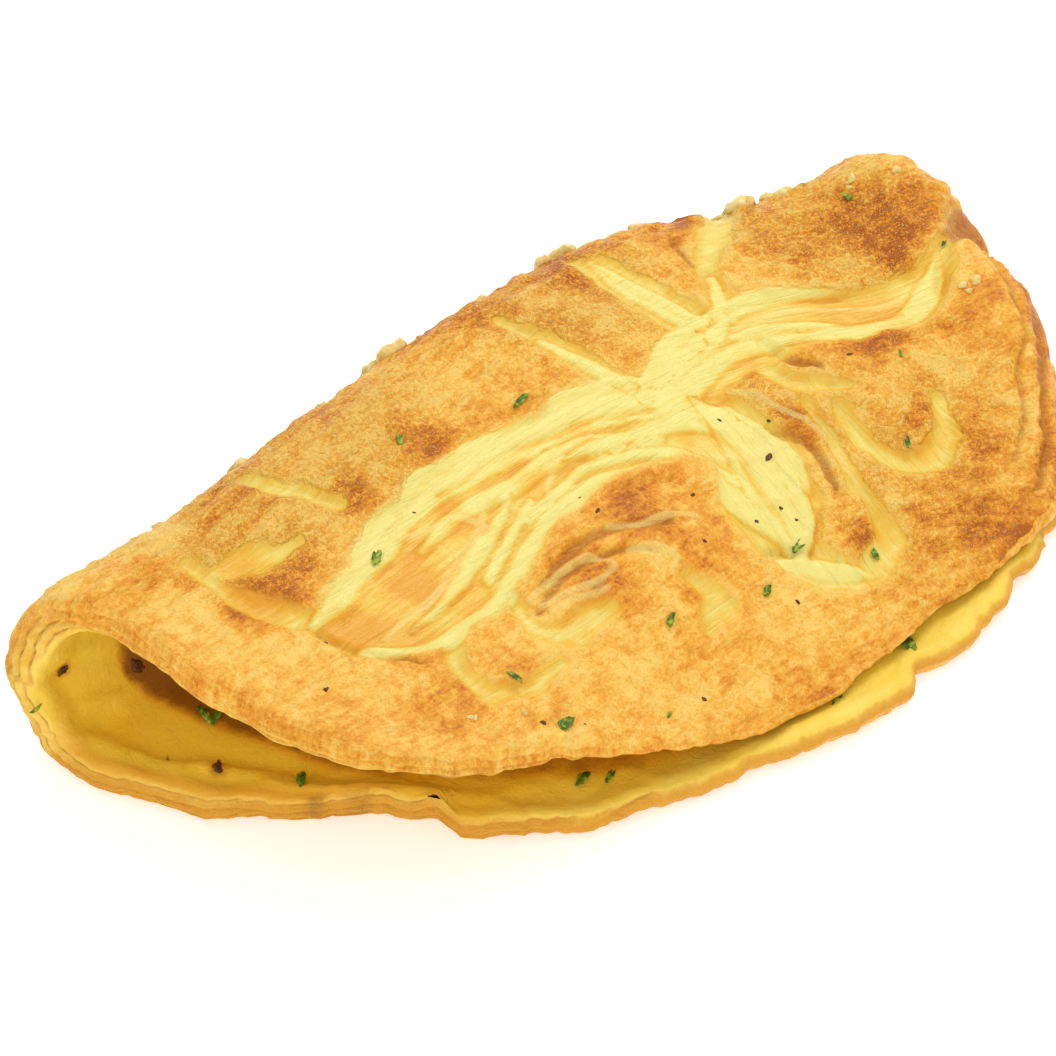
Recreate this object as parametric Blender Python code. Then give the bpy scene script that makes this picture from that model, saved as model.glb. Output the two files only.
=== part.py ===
"""A folded omelette: one soft egg sheet folded once over itself, open at its left end and front.

The sheet starts as a round of egg. Its two flat coordinates are x, along the fold, and w, the
distance from the fold's middle line: w < 0 is the layer on the table, w > 0 is the flap on top.
Metres, +Z up. The fold's back looks to +Y, the open front to -Y, the open end of the loop to -X.
"""
import bpy
import numpy as np
from math import pi

MM = 0.001

# The round of egg before folding
LENGTH_HALF = 102 * MM
WIDTH_HALF = 112 * MM
RIM_MEAN = 107 * MM
# How far the rim stands out from that oval, by degrees from the +X end
RIM_LOWER = ((0, -5), (12, -8), (25, -7), (40, -3), (52, 4), (62, 7), (80, 6), (100, -1), (120, -6),
             (140, -8), (160, 3), (180, 4))
RIM_UPPER = ((0, -5), (8, -4), (16, 3), (20, -1), (25, 3), (38, 5), (60, 5), (80, 0), (100, -1),
             (120, 4), (140, 7), (152, 3), (162, -2), (180, 4))

# The fold, by x in mm
FOLD_LINE = ((-104, -17), (-70, -13), (-35, -6), (0, 0), (35, 3), (70, -4), (104, -8))
FOLD_HEIGHT = ((-104, 37), (-60, 36), (0, 32.5), (50, 26.5), (75, 24.5), (91, 27), (104, 23))
FOLD_DEPTH = ((-104, 16), (-60, 14), (0, 13), (60, 12), (95, 10), (104, 8))
# Height of the flap's crust at its front edge, by x in mm
FLAP_EDGE = ((-104, 37), (-95, 35), (-80, 28), (-60, 19), (-40, 12.5), (-20, 8), (0, 6.2), (112, 6))
FLAP_RUN = 87 * MM
FLAP_BOW = 1.8

# The egg's thickness and the pocket between its two layers
FLOOR = 4.5 * MM
FLOOR_RIM = 3.6 * MM
SLIT = 0.4 * MM
FLAP_THICK = 6 * MM
# Thickness of the flap's lip, by x in mm
FLAP_LIP = ((-104, 6), (-90, 5.5), (-70, 3.5), (-40, 2), (0, 1.5), (60, 2), (104, 3))
# The right end is rounded down to a thin closed edge
END_START = 40 * MM
END_FULL = 75 * MM
END_RIM_HEIGHT = 8 * MM
END_ROUND_SHARE = 0.13
CLOSED_START = 15 * MM
CLOSED_FULL = 45 * MM
RIM_BLEND = 25 * MM
POCKET = ((-112, 1.0), (-80, 0.9), (-50, 0.75), (-20, 0.45), (10, 0.15), (30, 0.0), (112, 0.0))
POCKET_BACK_WALL = 6.5 * MM
POCKET_BACK_MIN = 3 * MM
POCKET_ROUND = 12 * MM
RIM_BULGE = 1.3 * MM

# Valleys in the crust: points (x, w) in mm, half width in mm, depth in mm
VALLEYS = (
    (((-71, 53), (-46, 45), (-28, 43), (-7, 45), (13, 50), (24, 51), (36, 46), (63, 43), (82, 42)), 6, 1.8),
    (((21, 56), (25, 69), (23, 80), (20, 89), (26, 97)), 6, 1.8),
    (((-62, 67), (-44, 66), (-24, 60), (-8, 58), (6, 60), (14, 70)), 4, 1.5),
    (((37, 20), (31, 34), (34, 46)), 3, 1.2),
    (((6, 30), (10, 42), (16, 50)), 3, 1.0),
    (((-80, 32), (-75, 44), (-67, 57)), 3, 1.5),
    (((43, 72), (45, 80), (52, 81), (58, 73)), 3, 1.2),
    (((96, 38), (84, 41), (76, 50)), 4, 2.2),
)
# Puffed places: middle (x, w) in mm, radius in mm, height in mm
PUFFS = ((-10, 80, 22, 2.2), (86, 60, 18, 1.8), (88, 22, 17, 1.5), (-50, 90, 24, 1.2),
         (-60, 28, 16, 1.4), (50, 62, 14, 1.2), (0, 26, 22, 1.2))

# The relief fades out towards the rim over this share of the sheet's radius
RELIEF_FADE_SHARE = 0.14

CELLS_X = 38
CELLS_W = 50
FOLD_CELL_SHARE = 0.6
RIM_ROWS = 2
NORMAL_STEP = 0.5 * MM

CRUST_COLOUR = (0.72, 0.36, 0.10, 1.0)
CRUST_ROUGHNESS = 0.55


def clear_scene():
    for item in list(bpy.data.objects):
        bpy.data.objects.remove(item)


def smooth(value):
    t = np.clip(value, 0.0, 1.0)
    return t * t * (3 - 2 * t)


def along(position, knots):
    """A smooth curve through the knots."""
    spots = np.array([knot[0] for knot in knots], float)
    values = np.array([knot[1] for knot in knots], float)
    gaps = np.diff(spots)
    rises = np.diff(values) / gaps
    slopes = np.empty(len(spots))
    slopes[0] = rises[0]
    slopes[-1] = rises[-1]
    slopes[1:-1] = (rises[:-1] * gaps[1:] + rises[1:] * gaps[:-1]) / (gaps[:-1] + gaps[1:])
    position = np.clip(position, spots[0], spots[-1])
    cell = np.clip(np.searchsorted(spots, position) - 1, 0, len(gaps) - 1)
    t = (position - spots[cell]) / gaps[cell]
    start = (1 + 2 * t) * (1 - t) ** 2 * values[cell] + t * (1 - t) ** 2 * gaps[cell] * slopes[cell]
    end = t * t * (3 - 2 * t) * values[cell + 1] + t * t * (t - 1) * gaps[cell] * slopes[cell + 1]
    return start + end


def along_fold(x, knots):
    """Knots given in mm by x in mm, used in metres."""
    return along(x / MM, knots) * MM


def rim_scale(angle):
    """Rim radius over the plain oval's, at an angle round the sheet from +X."""
    degrees = np.abs(np.degrees(angle))
    swell = np.where(angle > 0, along(degrees, RIM_UPPER), along(degrees, RIM_LOWER))
    return 1 + swell * MM / RIM_MEAN


def fold_arc(x):
    """Half the length of sheet that the fold's bend takes up."""
    height = along_fold(x, FOLD_HEIGHT)
    depth = along_fold(x, FOLD_DEPTH)
    return pi / 2 * np.sqrt((depth ** 2 + (height / 2) ** 2) / 2)


def flap_height(x, run):
    """Height of the flap's crust at a distance forward of the fold's bend."""
    height = along_fold(x, FOLD_HEIGHT)
    drop = height - along_fold(x, FLAP_EDGE)
    return height - drop * np.clip(run / FLAP_RUN, 0.0, 1.0) ** FLAP_BOW


def end_drop(x, radius):
    """1 over most of the sheet, down to 0 at the rim of the right end, as a quarter round."""
    inward = np.clip((1 - radius) / END_ROUND_SHARE, 0, 1)
    rounded = np.sqrt(1 - (1 - inward) ** 2)
    return 1 - smooth((x - END_START) / (END_FULL - END_START)) * (1 - rounded)


def sheet_radius(x, w):
    """0 in the middle of the sheet, 1 at its rim."""
    angle = np.arctan2(w / WIDTH_HALF, x / LENGTH_HALF)
    plain = np.hypot(x / LENGTH_HALF, w / WIDTH_HALF)
    return np.minimum(plain / rim_scale(angle), 1)


def forward_run(w, arc):
    """How far a point of the sheet lies forward of the bend, on either layer."""
    return np.maximum(np.abs(w) - arc, 0.0)


def plain_crust(x, w):
    """The crust's surface before its valleys and puffs."""
    arc = fold_arc(x)
    run = forward_run(w, arc)
    bend = np.clip(w / arc, -1, 1) * pi / 2
    height = along_fold(x, FOLD_HEIGHT)
    y = along_fold(x, FOLD_LINE) + along_fold(x, FOLD_DEPTH) * np.cos(bend) - run
    drop = end_drop(x, sheet_radius(x, w))
    flap = END_RIM_HEIGHT + (flap_height(x, run) - END_RIM_HEIGHT) * drop
    bent = (END_RIM_HEIGHT + (height - END_RIM_HEIGHT) * drop) / 2 * (1 + np.sin(bend))
    z = np.where(w > arc, np.minimum(flap, flap_height(x, run)), bent)
    return np.stack([x, y, z], -1)


def surface_normal(surface, x, w):
    across = surface(x + NORMAL_STEP, w) - surface(x - NORMAL_STEP, w)
    down = surface(x, w + NORMAL_STEP) - surface(x, w - NORMAL_STEP)
    normal = np.cross(down, across)
    return normal / np.linalg.norm(normal, axis=-1, keepdims=True)


def distance_to_path(x, w, path):
    """Distance on the flat sheet to a path of straight lines, with x, w and path in mm."""
    nearest = np.full(x.shape, np.inf)
    for (x0, w0), (x1, w1) in zip(path[:-1], path[1:]):
        step_x = x1 - x0
        step_w = w1 - w0
        share = ((x - x0) * step_x + (w - w0) * step_w) / (step_x ** 2 + step_w ** 2)
        share = np.clip(share, 0, 1)
        nearest = np.minimum(nearest, np.hypot(x - x0 - share * step_x, w - w0 - share * step_w))
    return nearest


def crust_relief(x, w):
    """Height of the puffs less the depth of the valleys, in metres. The bottom stays flat."""
    relief = np.zeros(x.shape)
    for middle_x, middle_w, radius, height in PUFFS:
        away = np.hypot(x / MM - middle_x, w / MM - middle_w) / radius
        relief += height * smooth(1 - away)
    for path, half_width, depth in VALLEYS:
        away = distance_to_path(x / MM, w / MM, path) / half_width
        relief -= depth * smooth(1.5 - away)
    inward = (1 - sheet_radius(x, w)) / RELIEF_FADE_SHARE
    return relief * MM * smooth((w / MM + 5) / 10) * smooth(inward)


def crust_surface(x, w):
    return plain_crust(x, w) + crust_relief(x, w)[..., None] * surface_normal(plain_crust, x, w)


def pocket_surface(x, w, radius):
    """The egg's inner face: the floor, the pocket's back wall and the underside of the flap."""
    arc = fold_arc(x)
    run = forward_run(w, arc)
    inward = smooth((1 - radius) * RIM_MEAN / RIM_BLEND)
    floor = FLOOR_RIM + (FLOOR - FLOOR_RIM) * inward
    closed = smooth((x - CLOSED_START) / (CLOSED_FULL - CLOSED_START))
    openness = (1 - (1 - along(x / MM, POCKET)) * inward) * (1 - closed)
    top = flap_height(x, np.where(w > arc, run, 0.0))
    lip = along_fold(x, FLAP_LIP)
    flap_thick = lip + (FLAP_THICK - lip) * inward
    gap = SLIT + np.maximum(top - FLOOR - SLIT - flap_thick, 0) * openness
    bend = np.clip(w / arc, -1, 1) * pi / 2
    depth = np.maximum(along_fold(x, FOLD_DEPTH) - POCKET_BACK_WALL, POCKET_BACK_MIN)
    depth = depth * np.clip(gap / POCKET_ROUND, 0.25, 1)
    y = along_fold(x, FOLD_LINE) + depth * np.cos(bend) - run
    z = floor + (FLOOR + gap - floor) / 2 * (1 + np.sin(bend))
    return np.stack([x, y, z], -1)


def sheet_grid():
    """x, w and radius (1 at the rim) of a grid that fills the round of egg."""
    u = np.linspace(-1, 1, CELLS_X + 1)[:, None]
    t = np.linspace(-1, 1, CELLS_W + 1)[None, :]
    v = t * (FOLD_CELL_SHARE + (1 - FOLD_CELL_SHARE) * t * t)
    disc_x = u * np.sqrt(1 - v * v / 2)
    disc_w = v * np.sqrt(1 - u * u / 2)
    radius = np.hypot(disc_x, disc_w)
    scale = 1 + (rim_scale(np.arctan2(disc_w, disc_x)) - 1) * radius ** 2
    return disc_x * scale * LENGTH_HALF, disc_w * scale * WIDTH_HALF, np.minimum(radius, 1)


def rim_loop():
    """Grid places once round the rim."""
    front = [(i, 0) for i in range(CELLS_X)]
    right = [(CELLS_X, j) for j in range(CELLS_W)]
    back = [(i, CELLS_W) for i in range(CELLS_X, 0, -1)]
    left = [(0, j) for j in range(CELLS_W, 0, -1)]
    return front + right + back + left


def grid_triangles(first, flip):
    """Two triangles a cell, split towards the middle of the sheet."""
    triangles = []
    for i in range(CELLS_X):
        for j in range(CELLS_W):
            a = first + i * (CELLS_W + 1) + j
            b = a + CELLS_W + 1
            same_side = (i < CELLS_X / 2) == (j < CELLS_W / 2)
            if same_side:
                pair = [(a, b, b + 1), (a, b + 1, a + 1)]
            else:
                pair = [(a, b, a + 1), (b, b + 1, a + 1)]
            triangles += [tri[::-1] if flip else tri for tri in pair]
    return triangles


def rim_triangles(rows):
    """Joins rings of equal length, from the crust's rim to the pocket's."""
    triangles = []
    count = len(rows[0])
    for upper, lower in zip(rows[:-1], rows[1:]):
        for k in range(count):
            n = (k + 1) % count
            triangles.append((upper[k], lower[n], lower[k]))
            triangles.append((upper[k], upper[n], lower[n]))
    return triangles


def rim_rows(crust, pocket, first):
    """Points of the rounded edge between the two faces, and the rings of their numbers."""
    loop = rim_loop()
    near = np.array([crust[place] for place in loop])
    far = np.array([pocket[place] for place in loop])
    inside = np.array([crust[np.clip(i, 1, CELLS_X - 1), np.clip(j, 1, CELLS_W - 1)] for i, j in loop])
    outward = (near - inside) * [1, 1, 0]
    outward /= np.linalg.norm(outward, axis=1, keepdims=True)
    points = []
    rings = [[i * (CELLS_W + 1) + j for i, j in loop]]
    for row in range(1, RIM_ROWS + 1):
        share = row / (RIM_ROWS + 1)
        bulge = RIM_BULGE * np.sin(pi * share)
        points += list(near * (1 - share) + far * share + outward * bulge)
        start = first + (row - 1) * len(loop)
        rings.append(list(range(start, start + len(loop))))
    pocket_first = (CELLS_X + 1) * (CELLS_W + 1)
    rings.append([pocket_first + number for number in rings[0]])
    return points, rings


def omelette_mesh():
    x, w, radius = sheet_grid()
    crust = crust_surface(x, w)
    pocket = pocket_surface(x, w, radius)
    count = (CELLS_X + 1) * (CELLS_W + 1)
    edge, rings = rim_rows(crust, pocket, 2 * count)
    points = np.vstack([crust.reshape(-1, 3), pocket.reshape(-1, 3), edge])
    low = points.min(axis=0)
    high = points.max(axis=0)
    points -= [(low[0] + high[0]) / 2, (low[1] + high[1]) / 2, low[2]]
    faces = grid_triangles(0, True) + grid_triangles(count, False) + rim_triangles(rings)
    mesh = bpy.data.meshes.new("omelette")
    mesh.from_pydata(points.tolist(), [], faces)
    mesh.update()
    return mesh


def crust_material():
    material = bpy.data.materials.new("cooked_egg")
    material.use_nodes = True
    shader = material.node_tree.nodes["Principled BSDF"]
    shader.inputs["Base Color"].default_value = CRUST_COLOUR
    shader.inputs["Roughness"].default_value = CRUST_ROUGHNESS
    return material


def build_omelette():
    mesh = omelette_mesh()
    omelette = bpy.data.objects.new("omelette", mesh)
    bpy.context.collection.objects.link(omelette)
    mesh.materials.append(crust_material())
    mesh.shade_smooth()


clear_scene()
build_omelette()
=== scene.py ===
"""Looks of the folded omelette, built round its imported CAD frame.

The egg is one sheet with two flat coordinates in millimetres: x along the fold and w across it,
w < 0 on the table and w > 0 on the flap. Every mark on it is placed in those coordinates.
"""
from math import pi, radians

import bpy
import numpy as np
from mathutils import Matrix, Vector


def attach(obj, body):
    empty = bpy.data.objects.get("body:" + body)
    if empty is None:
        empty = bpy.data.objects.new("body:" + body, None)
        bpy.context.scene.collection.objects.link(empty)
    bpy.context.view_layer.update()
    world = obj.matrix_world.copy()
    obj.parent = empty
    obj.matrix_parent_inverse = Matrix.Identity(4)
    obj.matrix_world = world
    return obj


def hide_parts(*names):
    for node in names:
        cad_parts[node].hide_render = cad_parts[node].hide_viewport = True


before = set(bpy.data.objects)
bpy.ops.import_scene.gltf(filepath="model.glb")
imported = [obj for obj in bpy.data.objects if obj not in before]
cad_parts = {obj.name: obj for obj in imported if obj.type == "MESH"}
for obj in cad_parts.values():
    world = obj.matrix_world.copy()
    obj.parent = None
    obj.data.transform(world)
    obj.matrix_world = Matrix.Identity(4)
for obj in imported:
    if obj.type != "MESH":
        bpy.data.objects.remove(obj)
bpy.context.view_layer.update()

MM = 0.001

# ---- shape of the sheet, in mm
# As in the CAD, but with a thinner lip on the flap, a smaller bulge of the rim and torn edges. Pairs
# give a value along x, or round the rim in degrees from the right end.

LENGTH_HALF = 102.0
WIDTH_HALF = 112.0
RIM_MEAN = 107.0
# The CAD sheet's middle before it was centred on its box
SHEET_MIDDLE = (-2.265, -38.93)
RIM_LOWER = ((0, -5), (12, -8), (25, -7), (40, -3), (52, 4), (62, 7), (80, 6), (100, -1), (120, -6),
             (140, -8), (160, 3), (180, 4))
RIM_UPPER = ((0, -5), (8, -4), (16, 3), (20, -1), (25, 3), (38, 5), (60, 5), (80, 0), (100, -1),
             (120, 4), (140, 7), (152, 3), (162, -2), (180, 4))
FOLD_LINE = ((-104, -17), (-70, -13), (-35, -6), (0, 0), (35, 3), (70, -4), (104, -8))
FOLD_HEIGHT = ((-104, 37), (-60, 36), (0, 32.5), (50, 26.5), (75, 24.5), (91, 27), (104, 23))
FOLD_DEPTH = ((-104, 16), (-60, 14), (0, 13), (60, 12), (95, 10), (104, 8))
FLAP_EDGE = ((-104, 37), (-95, 35), (-80, 28), (-60, 19), (-40, 12.5), (-20, 8), (0, 6.2), (112, 6))
FLAP_RUN = 87.0
FLAP_BOW = 1.8
FLOOR = 4.5
FLOOR_RIM = 3.6
SLIT = 0.4
FLAP_THICK = 6.0
FLAP_LIP = ((-104, 5.5), (-90, 4.6), (-70, 2.6), (-40, 1.5), (0, 1.3), (60, 1.8), (104, 3))
END_START = 40.0
END_FULL = 75.0
END_RIM_HEIGHT = 8.0
END_ROUND_SHARE = 0.13
CLOSED_START = 15.0
CLOSED_FULL = 45.0
RIM_BLEND = 25.0
POCKET = ((-112, 1.0), (-80, 0.9), (-50, 0.75), (-20, 0.45), (10, 0.15), (30, 0.0), (112, 0.0))
POCKET_BACK_WALL = 6.5
POCKET_BACK_MIN = 3.0
POCKET_ROUND = 12.0
RIM_BULGE = 1.1
# How much shorter the flap is over the open pocket than in the CAD
LIP_SHORT = 5.5

# Torn rim in mm: noises (strength, size, seed), a step in the lower layer's front edge, and its torn
# lobes and bites (degrees round the sheet, spread in degrees, mm outward)
TORN_NOISE = ((0.55, 9, 3), (0.35, 3.2, 5), (0.22, 1.3, 7))
TEAR_STEP = 3.0
TEAR_LOBES = ((-51, 1.8, 2.6), (-46, 1.6, 2.0), (-78, 1.4, -1.8), (-62, 2.0, -1.4))
RIM_SIDE_BLEND = 0.1
# Drift of the marks on the crust, waves of the flap's lip, and the uneven rim: (strength, size, seed)
SHIFT_X = ((1.2, 7, 21), (0.5, 2.6, 22))
SHIFT_W = ((1.2, 7, 23), (0.5, 2.6, 24))
LIP_LIFT = 0.55
LIP_WAVES = ((0.55, 11, 81), (0.25, 4, 83))
LAYER_DRIFT = ((0.22, 16, 101), (0.04, 4, 103))
RIM_ROUGH = ((0.14, 3, 105), (0.3, 7, 107))

# Depth inside a path for a place that is far from it
FAR = 8.0
# Mesh density: columns along x, rows across the lower and the upper part, rings round the rim
COLUMNS = 240
UNDER_ROWS = 70
TOP_ROWS = 200
TOP_ROWS_FROM = -0.25
RIM_RINGS = 14

# ---- marks on the crust
# Soft, paler zones sunk into the crust: (x, w, half width) along each
SOFT_ZONES = (
    ((-71, 55, 2), (-60, 59, 9), (-45, 57, 13), (-28, 54, 12), (-12, 53, 9.5), (5, 54, 9), (16, 58, 9),
     (22, 66, 7.5), (20, 78, 9), (17, 87, 6), (23, 96, 3)),
    ((16, 54, 5), (28, 49, 7), (40, 46, 7), (52, 46, 7), (62, 48, 6), (72, 48, 5), (80, 44, 3),
     (86, 40, 1.5)),
    ((27, 18, 2.5), (29, 28, 4), (34, 44, 4.5)),
    ((60, 8, 2), (51, 23, 2.5), (44, 32, 2), (40, 42, 2.5)),
    ((1, 24, 1), (8, 37, 2.5), (11, 48, 3)),
    ((38, 49, 2), (38, 57, 2), (41, 61, 2), (48, 63, 1)),
    ((-78, 34, 1), (-71, 36, 3), (-61, 39, 1)),
    ((-62, 18, 1), (-56, 28, 1.5), (-50, 36, 2)),
    ((-80, 29, 1), (-77, 42, 2), (-71, 53, 2.5), (-64, 63, 2)),
    ((44, 68, 1.5), (44, 79, 2), (50, 82, 2.5), (57, 77, 2), (60, 70, 1.5)),
    ((36, 82, 1), (35, 92, 2), (28, 98, 2.5)),
    ((39, 64, 1), (38, 74, 1), (35, 84, 1)),
    ((-50, 68, 3), (-55, 74, 2), (-54, 80, 1.5), (-46, 85, 1.5), (-37, 84, 1)),
    ((-36, 70, 1.5), (-36, 78, 1.5), (-30, 81, 2), (-22, 80, 1)),
    ((-6, 84, 1), (-3, 89, 2.5), (-8, 93, 1.5)),
)
SOFT_DEPTH = 1.3
# Smooth pale ribbons of egg that stand up inside the soft zones
RIBBONS = (
    ((-71, 54, 1), (-62, 52, 3), (-51, 48, 4), (-39, 45, 4), (-28, 45, 3.8), (-14, 47, 4), (1, 48, 5),
     (10, 50, 5), (17, 55, 4)),
    ((-44, 54, 1), (-34, 52, 2), (-19, 53, 2), (-10, 53, 2), (1, 56, 2.5), (9, 59, 2)),
    ((14, 52, 3), (28, 45, 3.5), (38, 42, 2.5), (50, 40, 2), (62, 42, 0.4)),
    ((16, 56, 4), (28, 51, 3), (38, 49, 3), (48, 49, 3), (58, 52, 2.5), (66, 52, 2.5), (75, 48, 2.5),
     (83, 41, 0.4)),
    ((25, 68, 0.8), (18, 60, 2.5), (8, 57, 1.8), (-4, 55, 1.4), (-12, 55, 0.4)),
    ((21, 80, 0.8), (14, 70, 2), (10, 64, 1.5), (0, 59, 1.4), (-8, 58, 1.2), (-16, 59, 1.3),
     (-24, 60, 1.5)),
    ((17, 88, 0.8), (14, 77, 3), (10, 69, 2.6), (2, 64, 2), (-6, 62, 2.2), (-15, 62, 2.5), (-25, 65, 2.5),
     (-38, 69, 2.2), (-50, 70, 2), (-60, 68, 1.5), (-67, 63, 1.2)),
    ((21, 55, 0.8), (23, 67, 4.5), (22, 76, 6), (20, 83, 5), (17, 91, 0.8)),
    ((25, 60, 1), (28, 68, 1.2), (29, 75, 1.2), (27, 80, 1)),
    ((9, 87, 0.3), (16, 91, 2), (22, 95, 2), (28, 99, 0.3)),
    ((-22, 54, 0.4), (-30, 58, 1.6), (-42, 62, 1.8), (-57, 65, 0.4)),
    ((-20, 57, 1), (-28, 61, 1.3), (-38, 65, 1.2)),
    ((28, 18, 0.5), (29, 29, 2.4), (32, 38, 2.6), (36, 47, 0.8)),
    ((44, 32, 1), (40, 40, 1.6), (34, 46, 2)),
    ((5, 32, 1), (9, 40, 1.6), (12, 49, 2)),
)
# Ribbons: height, width of the rounded edge, and distance over which painted shading makes one side paler, in
# mm
RIBBON_HEIGHT = 0.7
RIBBON_ROUND = 1.5
RIBBON_SHADED_SIDE = 3.0
# Thin pale edges of folded films of egg: (x, w, half width)
THREADS = (
    ((15, 67, 0.3), (24, 71, 0.5), (30, 71, 0.3)),
    ((14, 76, 0.3), (22, 80, 0.5), (28, 79, 0.3)),
    ((-66, 50, 0.3), (-54, 49, 0.4), (-40, 46, 0.5), (-20, 47, 0.5), (0, 48, 0.4)),
    ((38, 45, 0.3), (52, 44, 0.5), (66, 47, 0.4), (76, 45, 0.3)),
    ((-47, 47, 0.3), (-44, 50, 0.5), (-40, 51, 0.5), (-35, 52, 0.5), (-31, 56, 0.5), (-30, 59, 0.3)),
    ((-62, 63, 0.3), (-52, 62, 0.6), (-42, 60, 0.6), (-33, 57, 0.6), (-26, 52, 0.4)),
    ((-26, 52, 0.3), (-24, 55, 0.5), (-23, 59, 0.4)),
    ((-34, 72, 0.4), (-26, 71, 0.5), (-19, 72, 0.5), (-17, 75, 0.3)),
    ((-33, 74, 0.4), (-27, 75, 0.5), (-22, 76, 0.5), (-17, 76, 0.3)),
    ((-32, 76, 0.4), (-26, 77, 0.5), (-21, 78, 0.3)),
    ((-37, 72, 0.3), (-36, 78, 0.6), (-32, 80, 0.6), (-25, 80, 0.4)),
    ((-13, 75, 0.4), (-9, 77, 1.2), (-6, 80, 0.6), (-9, 82, 0.3)),
    ((-13, 69, 0.3), (-7, 72, 0.5), (-1, 73, 0.5), (4, 76, 0.3)),
    ((-1, 53, 0.3), (-8, 53, 0.5), (-14, 56, 0.5), (-18, 60, 0.3)),
    ((28, 58, 0.4), (34, 66, 0.6), (37, 75, 0.5), (36, 83, 0.3)),
    ((12, 91, 0.4), (18, 95, 0.7), (24, 99, 0.4)),
)
# Golden seams where the pale films meet: (x, w, half width)
SEAMS = (
    ((16, 51, 0.3), (6, 47, 0.5), (-6, 45, 0.5), (-20, 44, 0.5), (-34, 44, 0.4), (-48, 47, 0.3)),
    ((12, 54, 0.3), (2, 51, 0.5), (-10, 49, 0.5), (-22, 47, 0.4), (-34, 47, 0.3)),
    ((14, 49, 0.2), (4, 44, 0.4), (-8, 42, 0.4), (-18, 41, 0.2)),
    ((27, 45, 0.3), (38, 42, 0.4), (50, 41, 0.4), (60, 43, 0.3)),
    ((20, 52, 0.3), (30, 49, 0.4), (44, 48, 0.5), (56, 50, 0.4), (68, 50, 0.3)),
    ((19, 60, 0.3), (20, 68, 0.5), (19, 77, 0.5), (18, 86, 0.3)),
    ((25, 62, 0.3), (26, 70, 0.4), (24, 78, 0.4), (21, 86, 0.3)),
    ((10, 72, 0.3), (2, 66, 0.4), (-8, 64, 0.5), (-20, 65, 0.5), (-34, 69, 0.4), (-48, 71, 0.3)),
    ((28, 20, 0.3), (29, 30, 0.4), (33, 40, 0.3)),
    ((17, 91, 0.3), (22, 88, 0.5), (27, 84, 0.4)),
    ((-66, 56, 0.3), (-58, 53, 0.4), (-50, 52, 0.3)),
)
# Golden and orange clouds under the films: (x, w, radius, amount)
GOLD = (
    (-44, 53, 5, 0.55), (-50, 58, 7, 0.75), (-35, 53, 5, 0.65), (-31, 57, 4, 0.5), (-66, 57, 7, 0.8),
    (-61, 61, 7, 0.45), (-44, 64, 8, 0.4), (-56, 67, 6, 0.35), (-16, 53, 6, 0.5), (-7, 55, 6, 0.5),
    (-26, 52, 4, 0.3), (4, 56, 4, 0.25), (21, 55, 3, 0.6), (25, 58, 4, 0.5), (24, 74, 2, 0.4),
    (-22, 73, 7, 0.8), (-30, 76, 6, 0.45), (-46, 78, 7, 0.85), (-11, 85, 6, 0.8), (33, 36, 3, 0.3),
    (66, 50, 8, 0.4), (78, 46, 6, 0.35), (50, 78, 6, 0.35), (-72, 36, 6, 0.35), (36, 50, 5, 0.25),
    (-73, 45, 6, 0.5), (48, 50, 6, 0.3), (34, 90, 5, 0.3), (-58, 52, 3, 0.25), (-20, 50, 4, 0.35),
    (-2, 52, 4, 0.35), (-34, 49, 4, 0.3), (14, 62, 4, 0.3), (26, 79, 3, 0.35), (17, 72, 3, 0.25),
    (58, 46, 6, 0.35), (30, 48, 3, 0.25), (-76, 40, 4, 0.4),
)
# Sharp creases in the crust: (x, w, half width), dug to CREASE_DEPTH
CREASES = (
    ((101, 29, 2), (88, 39, 1.6), (82, 43, 1.2), (77, 50, 0.8)),
    ((41, 49, 0.8), (42, 55, 1.2), (46, 59, 0.8)),
    ((30, 68, 0.8), (33, 74, 1.2), (32, 82, 0.8)),
    ((44, 31, 0.5), (43, 26, 0.7), (45, 20, 0.5)),
    ((12, 86, 0.6), (17, 88, 0.8), (21, 90, 0.5)),
    ((-71, 56, 0.6), (-69, 60, 0.9), (-66, 65, 0.7), (-60, 71, 0.5)),
    ((-30, 71, 0.8), (-22, 69, 1.0), (-12, 70, 1.0), (-2, 74, 0.8)),
    ((-34, 75, 0.7), (-26, 72, 0.9), (-17, 73, 0.8), (-9, 77, 0.6)),
)
CREASE_DEPTH = 1.1
# Puffed places: (x, w, radius, height)
PUFFS = (
    (-10, 80, 22, 2.0), (86, 60, 18, 1.6), (88, 22, 17, 1.5), (-50, 90, 24, 1.0), (-60, 28, 16, 1.4),
    (50, 64, 13, 1.3), (0, 26, 20, 1.2), (-8, 72, 12, 0.9), (-20, 82, 9, 0.8), (62, 90, 14, 0.9),
    (70, 34, 12, 0.9), (-82, 55, 14, 0.7), (31, 60, 5, 0.9), (-34, 58, 6, 0.6), (-48, 62, 5, 0.5),
)
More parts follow.
